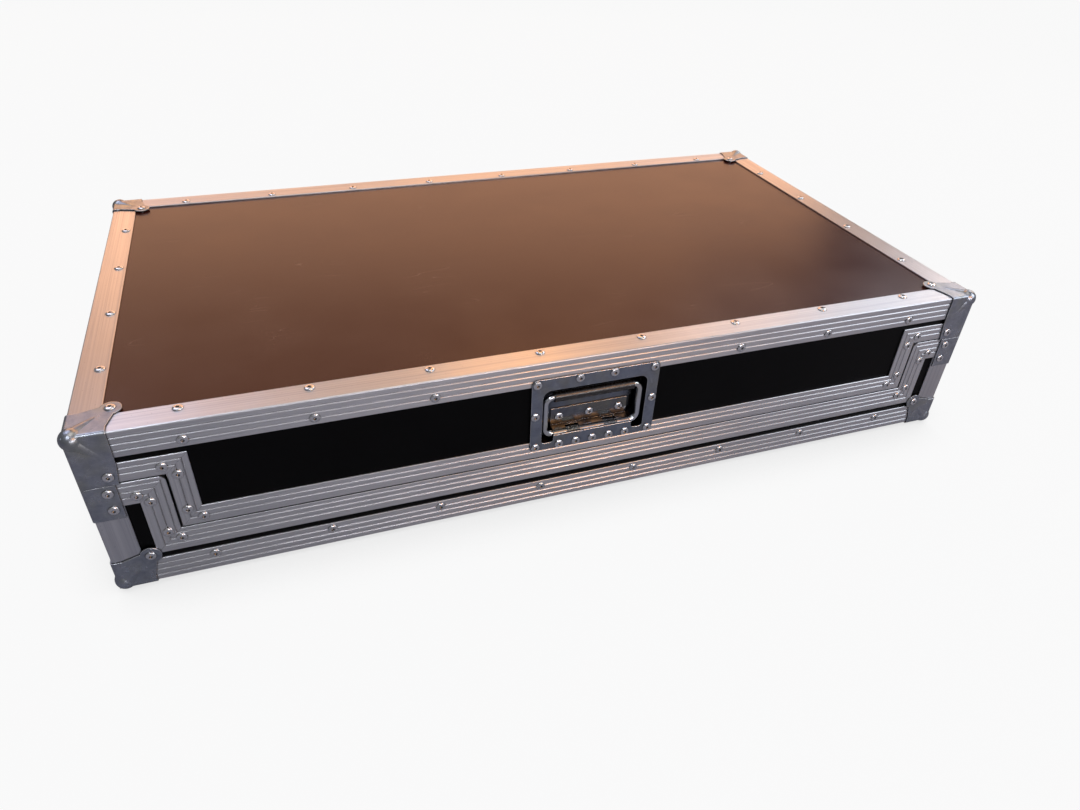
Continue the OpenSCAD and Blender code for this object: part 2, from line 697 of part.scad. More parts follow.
// Handle
module handle_opening(y0, y1) {
    slab(y0, y1, pocket_x0, pocket_z0, pocket_x1, pocket_z1, pocket_round);
    both_ends() slab(y0, y1, pocket_x0, lobe_z0, pocket_x0 + lobe_w, pocket_z1 - pocket_round,
        rod_r);
}
module handle_dish() color(zinc) placed() difference() {
    union() {
        slab(-dish_t, 0, handle_x - flange_w / 2, flange_z0, handle_x + flange_w / 2, flange_z1,
            flange_round);
        handle_tray(dish_t, -dish_t / 2, pocket_d + dish_t);
    }
    handle_tray(0, 0, pocket_d);
    handle_opening(-dish_t - over, over);
}
module at_pivot() translate([handle_x, bail_y, pivot_z]) children();
module handle_hinge_plate() color(zinc) placed() {
    translate([handle_x - ear_w / 2, 0, 0])
        bar(ear_w, [[pocket_d - ear_t, pivot_z + rod_bore], [pocket_d, pivot_z + rod_bore],
            [pocket_d, pivot_z + ear_h], [pocket_d - ear_t, pivot_z + ear_h]]);
    // The plate's foot reaches forward to the ears, and stays clear of the springs
    at_pivot() block([-ear_w / 2, coil_r + wire_r + run_play, rod_bore],
        [ear_w / 2, pocket_d - bail_y - ear_t / 2, ear_r]);
    for (s = ear_shares) at_pivot() difference() {
        union() {
            rod((s[0] - 0.5) * ear_w, (s[1] - 0.5) * ear_w, ear_r);
            block([(s[0] - 0.5) * ear_w, 0, rod_bore],
                [(s[1] - 0.5) * ear_w, pocket_d - bail_y - ear_t / 2, ear_r]);
        }
        rod(-ear_w, ear_w, rod_bore);
    }
}
// One coil as a swept tube round the pivot
coil_steps = 8;
coil_sides = 6;
function coil_points(len) = [for (i = [0:coil_turns * coil_steps], j = [0:coil_sides - 1])
    let (a = 360 * i / coil_steps, b = 360 * j / coil_sides, r = coil_r + wire_r * cos(b))
    [len * i / (coil_turns * coil_steps) + wire_r * sin(b), r * cos(a), r * sin(a)]];
function coil_faces() = let (last = coil_turns * coil_steps) concat(
    [for (i = [0:last - 1], j = [0:coil_sides - 1]) let (k = (j + 1) % coil_sides)
        [i * coil_sides + j, i * coil_sides + k, (i + 1) * coil_sides + k]],
    [for (i = [0:last - 1], j = [0:coil_sides - 1]) let (k = (j + 1) % coil_sides)
        [i * coil_sides + j, (i + 1) * coil_sides + k, (i + 1) * coil_sides + j]],
    [[for (j = [coil_sides - 1:-1:0]) j], [for (j = [0:coil_sides - 1]) last * coil_sides + j]]);
module handle_springs() color(zinc) placed() for (i = [0, 1]) {
    x0 = (ear_shares[i][1] - 0.5) * ear_w + wire_r + side_play;
    x1 = (ear_shares[i + 1][0] - 0.5) * ear_w - wire_r - side_play;
    at_pivot() translate([x0, 0, 0]) polyhedron(coil_points(x1 - x0), coil_faces());
}
module handle_rivets() color(alu) placed() {
    corner_x = flange_w / 2 - flange_round;
    for (s = [-1, 1]) {
        face_rivet(handle_x + s * corner_x, flange_z1 - flange_round, dish_t);
        face_rivet(handle_x + s * corner_x, flange_z0 + flange_rivet_in, dish_t);
        face_rivet(handle_x + s * (flange_w / 2 - flange_rivet_in),
            (flange_z0 + flange_z1) / 2, dish_t);
        face_rivet(handle_x + s * flange_row_gap, flange_z1 - flange_rivet_in, dish_t);
    }
    for (i = [0:flange_rows - 1])
        face_rivet(handle_x + (i - (flange_rows - 1) / 2) * flange_row_gap,
            flange_z0 + flange_rivet_in, dish_t);
    for (s = [-1, 0, 1])
        face_rivet(handle_x + s * (ear_w / 2 - 2 * head_r), pivot_z + ear_h / 2 + rod_r / 2,
            -(pocket_d - ear_t));
}
module bend(x, z, a) translate([x, 0, z]) rotate([90, 0, 0]) rotate([0, 0, a])
    rotate_extrude(angle = 90) translate([bend_r, 0]) circle(r = rod_r);
module handle_bail() color(zinc) placed() at_pivot() {
    x1 = bail_w / 2 - bend_r;
    z1 = bail_h - bend_r;
    rod(-x1, x1, rod_r);
    translate([0, 0, bail_h]) rod(-x1, x1, rod_r);
    for (s = [-1, 1]) translate([s * bail_w / 2, 0, bend_r])
        cylinder(h = z1 - bend_r, r = rod_r);
    bend(x1, z1, 0);
    bend(-x1, z1, 90);
    bend(-x1, bend_r, 180);
    bend(x1, bend_r, 270);
}
module handle_grip() color("#17171a") placed() at_pivot() translate([0, 0, bail_h])
    rotate([0, 90, 0]) rotate_extrude() polygon([
        [rod_bore, -grip_w / 2], [grip_r - edge_bevel, -grip_w / 2],
        [grip_r, -grip_w / 2 + edge_bevel], [grip_r, grip_w / 2 - edge_bevel],
        [grip_r - edge_bevel, grip_w / 2], [rod_bore, grip_w / 2]]);

// Hinges, drawn at the back with the pin's axis at the origin
module at_hinges() on_side(2) for (h = hinge_places)
    translate([h - hinge_w / 2, -pin_out, hinge_z]) children();
module knuckle(i, up) difference() {
    x0 = i * (knuckle_w + side_play);
    union() {
        rod(x0, x0 + knuckle_w, knuckle_r);
        mirror([0, 0, up ? 0 : 1])
            block([x0, pin_out - leaf_t, 0], [x0 + knuckle_w, knuckle_r, leaf_start + over]);
    }
    rod(-over, hinge_w + over, pin_r + run_play);
}
module leaf(up) mirror([0, 0, up ? 0 : 1])
    block([0, pin_out - leaf_t, leaf_start], [hinge_w, pin_out, leaf_h]);
module hinge_lid_leaves() color(zinc) placed() at_hinges() {
    leaf(true);
    for (i = [1:2:knuckles - 1]) knuckle(i, true);
}
module hinge_base_leaves() color(zinc) placed() at_hinges() {
    leaf(false);
    for (i = [0:2:knuckles - 1]) knuckle(i, false);
}
module hinge_pins() color(zinc) placed() at_hinges() {
    rod(0, hinge_w, pin_r);
    for (x = [-pin_r / 2, hinge_w]) rod(x, x + pin_r / 2, knuckle_r - pin_r / 2);
}

// Latches, drawn on one side and mirrored to the other
module both_sides() {
    on_right() translate([latch_at, 0, seam_z]) children();
    on_left() translate([latch_at, 0, seam_z]) children();
}
module at_hub() translate([0, 0, -hub_low]) children();
module dish(z0, z1, well_z0, well_z1) difference() {
    union() {
        block([-latch_w / 2, -dish_t, z0], [latch_w / 2, 0, z1]);
        block([-well_w / 2 - dish_t, -dish_t / 2, max(z0, well_z0 - dish_t)],
            [well_w / 2 + dish_t, well_d + dish_t, min(z1, well_z1 + dish_t)]);
    }
    block([-well_w / 2, -dish_t - over, well_z0], [well_w / 2, well_d, well_z1]);
}
module latch_base_dishes() color(zinc) placed() both_sides()
    dish(-latch_low, 0, well_foot - latch_low, over);
module latch_lid_dishes() color(zinc) placed() both_sides()
    dish(seam_gap, latch_high, -over, latch_high - well_head);
module latch_keepers() color(zinc) placed() both_sides() intersection() {
    block([-keeper_half, keeper_in, keeper_low], [keeper_half, well_d, claw_reach]);
    at_hub() post(0, well_d + over, claw_reach - side_play);
}
module latch_spindles() color(zinc) placed() both_sides() at_hub()
    post(claw_back, well_d, spindle_r);
module hub() at_hub() difference() {
    union() {
        post(claw_back, hub_in, hub_r);
        post(boss_in, claw_back + over, boss_r);
        block([-block_half, wing_pin_in - wing_t, -block_half], [block_half, boss_in + over,
            block_half]);
    }
    post(claw_back - side_play, well_d, spindle_r + run_play);
    translate([0, wing_pin_in, 0]) rod(-boss_r, boss_r, wing_pin_r + run_play);
}
module claw() at_hub() difference() {
    union() {
        post(claw_in, claw_back, hub_r);
        block([0, claw_in, -claw_w / 2], [claw_reach + lip_t, claw_back, claw_w / 2]);
        block([claw_reach, claw_in, -claw_w / 2], [claw_reach + lip_t, lip_in, claw_w / 2]);
    }
    post(0, well_d, boss_r + run_play);
}
module wing() at_hub() difference() {
    union() {
        intersection() {
            post(wing_pin_in - wing_t / 2, wing_pin_in + wing_t / 2, wing_r);
            block([-wing_r, 0, -wing_r], [wing_r, well_d, 0]);
        }
        translate([0, wing_pin_in, 0]) rod(-hub_r, hub_r, wing_knuckle_r);
    }
    block([-wing_slot, 0, -wing_notch], [wing_slot, well_d, wing_notch]);
    translate([0, 0, -wing_r - wing_knuckle_r]) post(0, well_d, boss_r);
    translate([0, wing_pin_in, 0]) rod(-wing_r, wing_r, wing_pin_r + run_play);
}
module wing_pin() at_hub() translate([0, wing_pin_in, 0]) rod(-hub_r, hub_r, wing_pin_r);
module left_latch() placed() on_left() translate([latch_at, 0, seam_z]) children();
module right_latch() placed() on_right() translate([latch_at, 0, seam_z]) children();
module latch_left_hub() color(zinc) left_latch() hub();
module latch_left_claw() color(zinc) left_latch() claw();
module latch_left_wing() color(zinc) left_latch() wing();
module latch_left_wing_pin() color(zinc) left_latch() wing_pin();
module latch_right_hub() color(zinc) right_latch() hub();
module latch_right_claw() color(zinc) right_latch() claw();
module latch_right_wing() color(zinc) right_latch() wing();
module latch_right_wing_pin() color(zinc) right_latch() wing_pin();

lid_top_panel();
lid_front_panel();
lid_back_panel();
lid_left_panel();
lid_right_panel();
lid_front_angle();
lid_back_angle();
lid_left_angle();
lid_right_angle();
lid_front_seam_profile();
lid_back_seam_profile();
lid_left_seam_profile();
lid_right_seam_profile();
lid_ball_corners();
lid_rivets();
lid_foam();
handle_dish();
handle_hinge_plate();
handle_springs();
handle_rivets();
handle_bail();
handle_grip();
base_floor_panel();
base_front_panel();
base_back_panel();
base_left_panel();
base_right_panel();
base_front_angle();
base_back_angle();
base_left_angle();
base_right_angle();
base_corner_posts();
base_front_seam_profile();
base_back_seam_profile();
base_left_seam_profile();
base_right_seam_profile();
base_ball_corners();
base_corner_braces();
base_rivets();
floor_foam_pad();
left_foam_pad();
right_foam_pad();
back_foam_pad();
hinge_lid_leaves();
hinge_base_leaves();
hinge_pins();
latch_base_dishes();
latch_lid_dishes();
latch_keepers();
latch_spindles();
latch_left_hub();
latch_left_claw();
latch_left_wing();
latch_left_wing_pin();
latch_right_hub();
latch_right_claw();
latch_right_wing();
latch_right_wing_pin();
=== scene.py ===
import math

import bpy
from mathutils import Matrix, Vector


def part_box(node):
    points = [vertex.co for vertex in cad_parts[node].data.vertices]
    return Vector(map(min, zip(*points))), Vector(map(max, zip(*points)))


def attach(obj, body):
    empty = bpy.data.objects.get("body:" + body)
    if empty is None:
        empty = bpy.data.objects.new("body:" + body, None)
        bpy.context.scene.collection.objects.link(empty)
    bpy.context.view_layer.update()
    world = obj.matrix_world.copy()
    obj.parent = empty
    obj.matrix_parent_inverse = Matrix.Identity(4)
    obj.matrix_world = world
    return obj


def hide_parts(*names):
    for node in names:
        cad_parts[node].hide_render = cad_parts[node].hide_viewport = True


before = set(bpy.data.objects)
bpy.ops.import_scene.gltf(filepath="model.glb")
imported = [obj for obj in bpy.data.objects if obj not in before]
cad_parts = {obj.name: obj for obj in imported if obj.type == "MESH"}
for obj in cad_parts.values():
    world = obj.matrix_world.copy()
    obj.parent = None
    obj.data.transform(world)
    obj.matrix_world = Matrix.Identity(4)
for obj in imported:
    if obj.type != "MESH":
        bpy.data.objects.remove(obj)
bpy.context.view_layer.update()


# Plywood panels
# Birch plywood of 7 mm with a phenolic film pressed on both faces, brown on the top and the
# floor and black on the walls. The panels are sawn to size and slide into the extrusions.

def linear(colour):
    """An sRGB hex colour as the linear colour that a socket takes."""
    parts = [int(colour[i:i + 2], 16) / 255 for i in (1, 3, 5)]
    return [p / 12.92 if p <= 0.04045 else ((p + 0.055) / 1.055) ** 2.4 for p in parts] + [1.0]


def add(material, kind, settings, links):
    """Adds a node. Settings are properties, or sockets by name or number; links feed sockets."""
    made = material.node_tree.nodes.new("ShaderNode" + kind)
    for name, value in settings.items():
        if isinstance(name, str) and hasattr(made, name):
            setattr(made, name, value)
        else:
            made.inputs[name].default_value = value
    for name, source in links.items():
        material.node_tree.links.new(source, made.inputs[name])
    return made


def per_mm(size):
    """The scale at which a pattern's features are this many millimetres across."""
    return 1000.0 / size


def new_material(name):
    """An empty material, its output and the place on the piece, turned or stretched later."""
    made = bpy.data.materials.new(name)
    made.use_nodes = True
    made.node_tree.nodes.clear()
    output = add(made, "OutputMaterial", {}, {})
    place = add(made, "TexCoord", {}, {}).outputs["Object"]
    return made, output, place


def phenolic_film(name, film, worn, gloss, haze, shine):
    """Resin-soaked paper, pressed hot against steel: semi-gloss, with a faint fibre speckle,
    the veneer's long grain showing through as ripples, and a few fine scratches."""
    fibre_size, cloud_size, grain_across, grain_along = 1.6, 70.0, 5.0, 240.0
    scratch_along, scratch_across, scratch_lean, scratch_width = 160.0, 22.0, 24.0, 0.0012
    made, output, place = new_material(name)
    clouds = add(made, "TexNoise", {"Scale": per_mm(cloud_size), "Detail": 3.0}, {"Vector": place})
    fibres = add(made, "TexNoise", {"Scale": per_mm(fibre_size), "Detail": 2.0}, {"Vector": place})
    grain_scale = (per_mm(grain_along), per_mm(grain_across), per_mm(grain_across))
    along = add(made, "Mapping", {"Scale": grain_scale}, {"Vector": place})
    grain = add(made, "TexNoise", {"Scale": 1.0, "Detail": 4.0, "Roughness": 0.6},
                {"Vector": along.outputs[0]})
    # A scratch is where a long, thin noise passes its middle value, kept to a few places
    scratch_scale = (per_mm(scratch_along), per_mm(scratch_across), per_mm(scratch_across))
    scratch_turn = add(made, "Mapping", {"Rotation": (0, 0, math.radians(scratch_lean)),
                       "Scale": scratch_scale}, {"Vector": place})
    wander = add(made, "TexNoise", {"Scale": 1.0, "Detail": 1.0, "Distortion": 0.4},
                 {"Vector": scratch_turn.outputs[0]})
    off_middle = add(made, "Math", {"operation": "COMPARE", 1: 0.5, 2: scratch_width},
                     {0: wander.outputs[0]})
    few = add(made, "MapRange", {"From Min": 0.60, "From Max": 0.70, "To Max": 0.8},
              {"Value": clouds.outputs[0]})
    scratch = add(made, "Math", {"operation": "MULTIPLY"},
                  {0: off_middle.outputs[0], 1: few.outputs[0]})
    speck = add(made, "MapRange", {"From Min": 0.35, "From Max": 0.75, "To Max": 0.4},
                {"Value": fibres.outputs[0]})
    cloudy = add(made, "MapRange", {"From Min": 0.3, "From Max": 0.7, "To Max": 0.3},
                 {"Value": clouds.outputs[0]})
    worn_share = add(made, "Math", {"operation": "MULTIPLY_ADD"},
                     {0: speck.outputs[0], 1: cloudy.outputs[0], 2: scratch.outputs[0]})
    colour = add(made, "Mix", {"data_type": "RGBA", 6: linear(film), 7: linear(worn)},
                 {0: worn_share.outputs[0]})
    rough = add(made, "MapRange", {"From Min": 0.3, "From Max": 0.7, "To Min": gloss,
                "To Max": gloss + haze}, {"Value": clouds.outputs[0]})
    ripple = add(made, "Bump", {"Strength": 0.35, "Distance": 0.00012}, {"Height": grain.outputs[0]})
    surface = add(made, "Bump", {"Strength": 0.12, "Distance": 0.00006},
                  {"Height": fibres.outputs[0], "Normal": ripple.outputs[0]})
    shader = add(made, "BsdfPrincipled", {"IOR": 1.55, "Specular IOR Level": shine},
                 {"Base Color": colour.outputs[2], "Roughness": rough.outputs[0],
                  "Normal": surface.outputs[0]})
    made.node_tree.links.new(shader.outputs[0], output.inputs["Surface"])
    return made


def dress(material, names):
    """Puts a material on CAD nodes, in their own slots."""
    for name in names:
        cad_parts[name].material_slots[0].material = material


brown_panels = ["lid_top_panel", "base_floor_panel"]
black_panels = [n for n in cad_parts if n.endswith("_panel") and n not in brown_panels]
dress(phenolic_film("phenolic_film_brown", film="#3f150a", worn="#8d7365",
                    gloss=0.21, haze=0.06, shine=0.5), brown_panels)
dress(phenolic_film("phenolic_film_black", film="#030303", worn="#151517",
                    gloss=0.34, haze=0.10, shine=0.1), black_panels)


# Edge angles, corner posts and seam profiles
# Aluminium of 2 mm, pressed through a die that leaves fine lines along each length, sawn at
# 45 degrees at the corners and riveted over the plywood's edges. Mill finish, not anodised.

# The turns that lay a pattern's x along the case's width, depth and height
run_x, run_y, run_z = (0, 0, 0), (0, 0, math.radians(90)), (0, math.radians(90), 0)
# Where the seam turns down the front, from the case's middle, and the seam's two heights
front_corner_x = {"base_front_seam_profile": 0.4160, "lid_front_seam_profile": 0.4148}
dropped_z, seam_z = 0.0648, 0.1295


def extruded_aluminium(name, run, step_at=None):
    """Extruded aluminium: a satin grey with bright and dull lines along its run, and a greyer
    haze where hands have dulled it. At step_at from the middle, the run turns upright."""
    line_across, line_along, haze_size, nick_size, shade_reach = 1.5, 260.0, 45.0, 7.0, 0.002
    lean = {run_x: (0, 1, 1), run_y: (1, 0, 1), run_z: (1, 1, 0)}[run]
    made, output, place = new_material(name)
    if step_at:
        parts = add(made, "SeparateXYZ", {}, {0: place})
        sideways = add(made, "Math", {"operation": "ABSOLUTE"}, {0: parts.outputs["X"]})
        shifted = add(made, "Math", {"operation": "SUBTRACT", 1: step_at},
                      {0: sideways.outputs[0]})
        slant = add(made, "Math", {"operation": "ADD"},
                    {0: shifted.outputs[0], 1: parts.outputs["Z"]})
        half = (seam_z - dropped_z) / 2
        upright = add(made, "Math", {"operation": "COMPARE", 1: dropped_z + half, 2: half},
                      {0: slant.outputs[0]})
        swapped = add(made, "CombineXYZ", {}, {"X": parts.outputs["Z"], "Y": parts.outputs["Y"],
                      "Z": parts.outputs["X"]})
        turned = add(made, "Mix", {"data_type": "VECTOR"},
                     {0: upright.outputs[0], 4: place, 5: swapped.outputs[0]})
        place = turned.outputs[1]
    turn = add(made, "Mapping", {"vector_type": "TEXTURE", "Rotation": run}, {"Vector": place})
    fine_scale = (per_mm(line_along), per_mm(line_across), per_mm(line_across))
    fine = add(made, "Mapping", {"Scale": fine_scale}, {"Vector": turn.outputs[0]})
    lines = add(made, "TexNoise", {"Scale": 1.0, "Detail": 3.0, "Roughness": 0.7},
                {"Vector": fine.outputs[0]})
    broad_scale = (per_mm(line_along * 2), per_mm(line_across * 5), per_mm(line_across * 5))
    broad = add(made, "Mapping", {"Scale": broad_scale}, {"Vector": turn.outputs[0]})
    bands = add(made, "TexNoise", {"Scale": 1.0, "Detail": 2.0}, {"Vector": broad.outputs[0]})
    haze = add(made, "TexNoise", {"Scale": per_mm(haze_size), "Detail": 4.0}, {"Vector": place})
    nicks = add(made, "TexVoronoi", {"Scale": per_mm(nick_size), "Randomness": 1.0},
                {"Vector": place})
    nick = add(made, "MapRange", {"From Min": 0.10, "From Max": 0.05, "To Max": 0.5},
               {"Value": nicks.outputs["Distance"]})
    lined = add(made, "MapRange", {"From Min": 0.3, "From Max": 0.7, "To Min": 0.15,
                "To Max": 0.85}, {"Value": lines.outputs[0]})
    banded = add(made, "Mix", {0: 0.35}, {2: lined.outputs[0], 3: bands.outputs[0]})
    hazed = add(made, "Mix", {"data_type": "RGBA", 6: linear("#c3c4cb"), 7: linear("#fbfbfb")},
                {0: banded.outputs[0]})
    nicked = add(made, "Mix", {"data_type": "RGBA", 7: linear("#b4b5b9")},
                 {0: nick.outputs[0], 6: hazed.outputs[2]})
    # Painted shade: the grooves and the ground round what is fixed on top are painted dark, where
    # shade falls
    open_sky = add(made, "AmbientOcclusion", {"samples": 5, "Distance": shade_reach}, {})
    unshaded = add(made, "MapRange", {"From Min": 0.45, "From Max": 0.88},
                {"Value": open_sky.outputs["AO"]})
    colour = add(made, "Mix", {"data_type": "RGBA", 6: linear("#3c3b3e")},
                 {0: unshaded.outputs[0], 7: nicked.outputs[2]})
    rough_lines = add(made, "MapRange", {"From Min": 0.25, "From Max": 0.75, "To Min": 0.34,
                      "To Max": 0.24}, {"Value": lines.outputs[0]})
    rough = add(made, "Math", {"operation": "MULTIPLY_ADD", 1: 0.12},
                {0: haze.outputs[0], 2: rough_lines.outputs[0]})
    surface = add(made, "Bump", {"Strength": 0.8, "Distance": 0.0001},
                  {"Height": lines.outputs[0]})
    across = add(made, "VectorTransform", {"vector_type": "VECTOR", "convert_from": "OBJECT",
                 "convert_to": "WORLD", 0: lean}, {})
    shader = add(made, "BsdfPrincipled", {"Metallic": 1.0, "Anisotropic": 0.7},
                 {"Base Color": colour.outputs[2], "Roughness": rough.outputs[0],
                  "Normal": surface.outputs[0], "Tangent": across.outputs[0]})
    made.node_tree.links.new(shader.outputs[0], output.inputs["Surface"])
    return made


extrusions = [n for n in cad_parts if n.endswith(("_angle", "_seam_profile"))]
stepped = list(front_corner_x)
dress(extruded_aluminium("extruded_aluminium_x", run_x),
      [n for n in extrusions if ("_front_" in n or "_back_" in n) and n not in stepped])
dress(extruded_aluminium("extruded_aluminium_y", run_y),
      [n for n in extrusions if "_left_" in n or "_right_" in n])
dress(extruded_aluminium("extruded_aluminium_z", run_z), ["base_corner_posts"])
for name in stepped:
    half_name = name.split("_")[0]
    dress(extruded_aluminium("extruded_aluminium_" + half_name + "_front", run_x,
                             front_corner_x[name]), [name])


# Ball corners, corner braces, handle plates, hinges and latches
# Mild steel of 1.5 mm, pressed or rolled to shape and zinc plated with a blue passivate.
# The plating is thin and bright, a little cloudy, and scratched where the case is stacked.

def zinc_plated_steel(name, light, dark, tint, gloss, edge, shade_reach):
    """Zinc-plated steel: cool grey and fairly bright, clouded by the bath, with a faint
    yellow-green bloom of passivate and fine scratches in all directions. Its edges are rounded
    over a radius and painted bright there, a painted highlight, and its corners are painted
    dark within a reach, a painted shade, both in metres."""
    cloud_size, bloom_size, scratch_size, peel_size = 9.0, 26.0, 5.0, 2.2
    made, output, place = new_material(name)
    clouds = add(made, "TexNoise", {"Scale": per_mm(cloud_size), "Detail": 4.0,
                 "Roughness": 0.65}, {"Vector": place})
    blooms = add(made, "TexNoise", {"Scale": per_mm(bloom_size), "Detail": 2.0},
                 {"Vector": place})
    peel = add(made, "TexNoise", {"Scale": per_mm(peel_size), "Detail": 2.0}, {"Vector": place})
    stretch = add(made, "Mapping", {"Rotation": (0.5, 0.9, 0.4),
                  "Scale": (0.12, 1.0, 1.0)}, {"Vector": place})
    scratches = add(made, "TexVoronoi", {"feature": "DISTANCE_TO_EDGE",
                    "Scale": per_mm(scratch_size)}, {"Vector": stretch.outputs[0]})
    scratch = add(made, "MapRange", {"From Min": 0.012, "From Max": 0.0, "To Max": 0.3},
                  {"Value": scratches.outputs["Distance"]})
    mottled = add(made, "MapRange", {"From Min": 0.3, "From Max": 0.7},
                  {"Value": clouds.outputs[0]})
    bloomed = add(made, "MapRange", {"From Min": 0.45, "From Max": 0.7, "To Max": 0.5},
                  {"Value": blooms.outputs[0]})
    plated = add(made, "Mix", {"data_type": "RGBA", 6: linear(dark), 7: linear(light)},
                 {0: mottled.outputs[0]})
    tinted = add(made, "Mix", {"data_type": "RGBA", 7: linear(tint)},
                 {0: bloomed.outputs[0], 6: plated.outputs[2]})
    scratched = add(made, "Mix", {"data_type": "RGBA", 7: linear("#e2e4e8")},
                    {0: scratch.outputs[0], 6: tinted.outputs[2]})
    rough = add(made, "MapRange", {"From Min": 0.3, "From Max": 0.7, "To Min": gloss + 0.12,
                "To Max": gloss}, {"Value": clouds.outputs[0]})
    turned_edge = add(made, "Bevel", {"samples": 6, "Radius": edge}, {})
    flat = add(made, "NewGeometry", {}, {})
    turned = add(made, "VectorMath", {"operation": "DOT_PRODUCT"},
                 {0: turned_edge.outputs[0], 1: flat.outputs["Normal"]})
    # Painted highlight: the rounded edges are painted nearly white
    edge_highlight_share = add(made, "MapRange", {"From Min": 0.97, "From Max": 0.80},
                 {"Value": turned.outputs["Value"]})
    edge_highlighted = add(made, "Mix", {"data_type": "RGBA", 7: linear("#f6f7f8")},
                {0: edge_highlight_share.outputs[0], 6: scratched.outputs[2]})
    # Painted shade: corners and hollows within the reach are painted dark, where shade falls
    open_sky = add(made, "AmbientOcclusion", {"samples": 5, "Distance": shade_reach}, {})
    unshaded = add(made, "MapRange", {"From Min": 0.45, "From Max": 0.95},
                {"Value": open_sky.outputs["AO"]})
    colour = add(made, "Mix", {"data_type": "RGBA", 6: linear("#2b2c31")},
                 {0: unshaded.outputs[0], 7: edge_highlighted.outputs[2]})
    surface = add(made, "Bump", {"Strength": 0.2, "Distance": 0.00006},
                  {"Height": peel.outputs[0], "Normal": turned_edge.outputs[0]})
    shader = add(made, "BsdfPrincipled", {"Metallic": 1.0},
                 {"Base Color": colour.outputs[2], "Roughness": rough.outputs[0],
                  "Normal": surface.outputs[0]})
    made.node_tree.links.new(shader.outputs[0], output.inputs["Surface"])
    return made


corner_steel = zinc_plated_steel(
    "zinc_plated_steel", light="#bfc4cc", dark="#999fab", tint="#bcbda8",
    gloss=0.25, edge=0.0011, shade_reach=0.0015)
# The dish's long reach paints its whole pocket dark, a painted shade
dish_steel = zinc_plated_steel(
    "zinc_plated_dish", light="#acb3c0", dark="#9299a8", tint="#aeab98",
    gloss=0.13, edge=0.0016, shade_reach=0.030)
# The hinge plate's copy is painted darker than the dish's, a painted shade for its place at the back
# of the pocket
pocket_shaded_plate_steel = zinc_plated_steel(
    "zinc_plated_plate_shaded", light="#8f9299", dark="#73767f", tint="#a59d80",
    gloss=0.16, edge=0.0008, shade_reach=0.010)
rod_steel = zinc_plated_steel(
    "zinc_plated_rod", light="#eceff4", dark="#dcdfe5", tint="#e4dcbc",
    gloss=0.09, edge=0.0004, shade_reach=0.002)
wire_steel = zinc_plated_steel(
    "zinc_plated_wire", light="#eceff4", dark="#dcdfe5", tint="#e4dcbc",
    gloss=0.14, edge=0.0002, shade_reach=0.0004)
rods = ["handle_bail", "hinge_pins", "latch_spindles"]
rods += [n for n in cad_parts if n.startswith("latch_") and n.endswith("_pin")]
dress(rod_steel, rods)
dress(wire_steel, ["handle_springs"])
dress(dish_steel, ["handle_dish"])
dress(pocket_shaded_plate_steel, ["handle_hinge_plate"])
steel_words = ("_ball_corners", "_braces", "_leaves", "_dishes",
               "_keepers", "_hub", "_claw", "_wing")
dress(corner_steel, [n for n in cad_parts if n.endswith(steel_words)])


# Blind rivets
# Aluminium rivets with a domed head, set from outside with a steel mandrel that snaps off
# below the head and leaves a dark hole. Their heads are bright from the setting tool.

def rivet_aluminium(name):
    """Bright aluminium: nearly white, smooth, with faint turning rings and small dents."""
    ring_size, dent_size, shade_reach = 0.9, 2.4, 0.0022
    made, output, place = new_material(name)
    rings = add(made, "TexNoise", {"Scale": per_mm(ring_size), "Detail": 2.0}, {"Vector": place})
    dents = add(made, "TexNoise", {"Scale": per_mm(dent_size), "Detail": 1.0}, {"Vector": place})
    bright = add(made, "Mix", {"data_type": "RGBA", 6: linear("#e6e7ea"), 7: linear("#fbfbfb")},
                 {0: dents.outputs[0]})
    # Painted shade: the mandrel's hole and a thin ring round the head's foot are painted near black,
    # where shade falls
    open_sky = add(made, "AmbientOcclusion", {"samples": 6, "Distance": shade_reach}, {})
    open_share = add(made, "MapRange", {"From Min": 0.36, "From Max": 0.7},
                     {"Value": open_sky.outputs["AO"]})
    curved = add(made, "NewGeometry", {}, {})
    raised = add(made, "MapRange", {"From Min": 0.40, "From Max": 0.47},
                 {"Value": curved.outputs["Pointiness"]})
    unshaded = add(made, "Math", {"operation": "MULTIPLY"},
                {0: open_share.outputs[0], 1: raised.outputs[0]})
    colour = add(made, "Mix", {"data_type": "RGBA", 6: linear("#0d0d0e")},
                 {0: unshaded.outputs[0], 7: bright.outputs[2]})
    rough = add(made, "MapRange", {"From Min": 0.3, "From Max": 0.7, "To Min": 0.13,
                "To Max": 0.21}, {"Value": rings.outputs[0]})
    surface = add(made, "Bump", {"Strength": 0.5, "Distance": 0.0001},
                  {"Height": dents.outputs[0]})
    shader = add(made, "BsdfPrincipled", {"Metallic": 1.0},
                 {"Base Color": colour.outputs[2], "Roughness": rough.outputs[0],
                  "Normal": surface.outputs[0]})
    made.node_tree.links.new(shader.outputs[0], output.inputs["Surface"])
    return made


dress(rivet_aluminium("rivet_aluminium"), [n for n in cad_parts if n.endswith("_rivets")])


# Grip
# A sleeve of black soft PVC, moulded with fine rings and pushed over the bail's rod.

def select_vertices(piece, wanted):
    """In edit mode, selects just the vertices whose place passes the test."""
    bpy.ops.object.mode_set(mode="OBJECT")
    for vertex in piece.data.vertices:
        vertex.select = wanted(vertex.co)
    for edge in piece.data.edges:
        edge.select = all(piece.data.vertices[v].select for v in edge.vertices)
    for face in piece.data.polygons:
        face.select = all(piece.data.vertices[v].select for v in face.vertices)
    bpy.ops.object.mode_set(mode="EDIT")


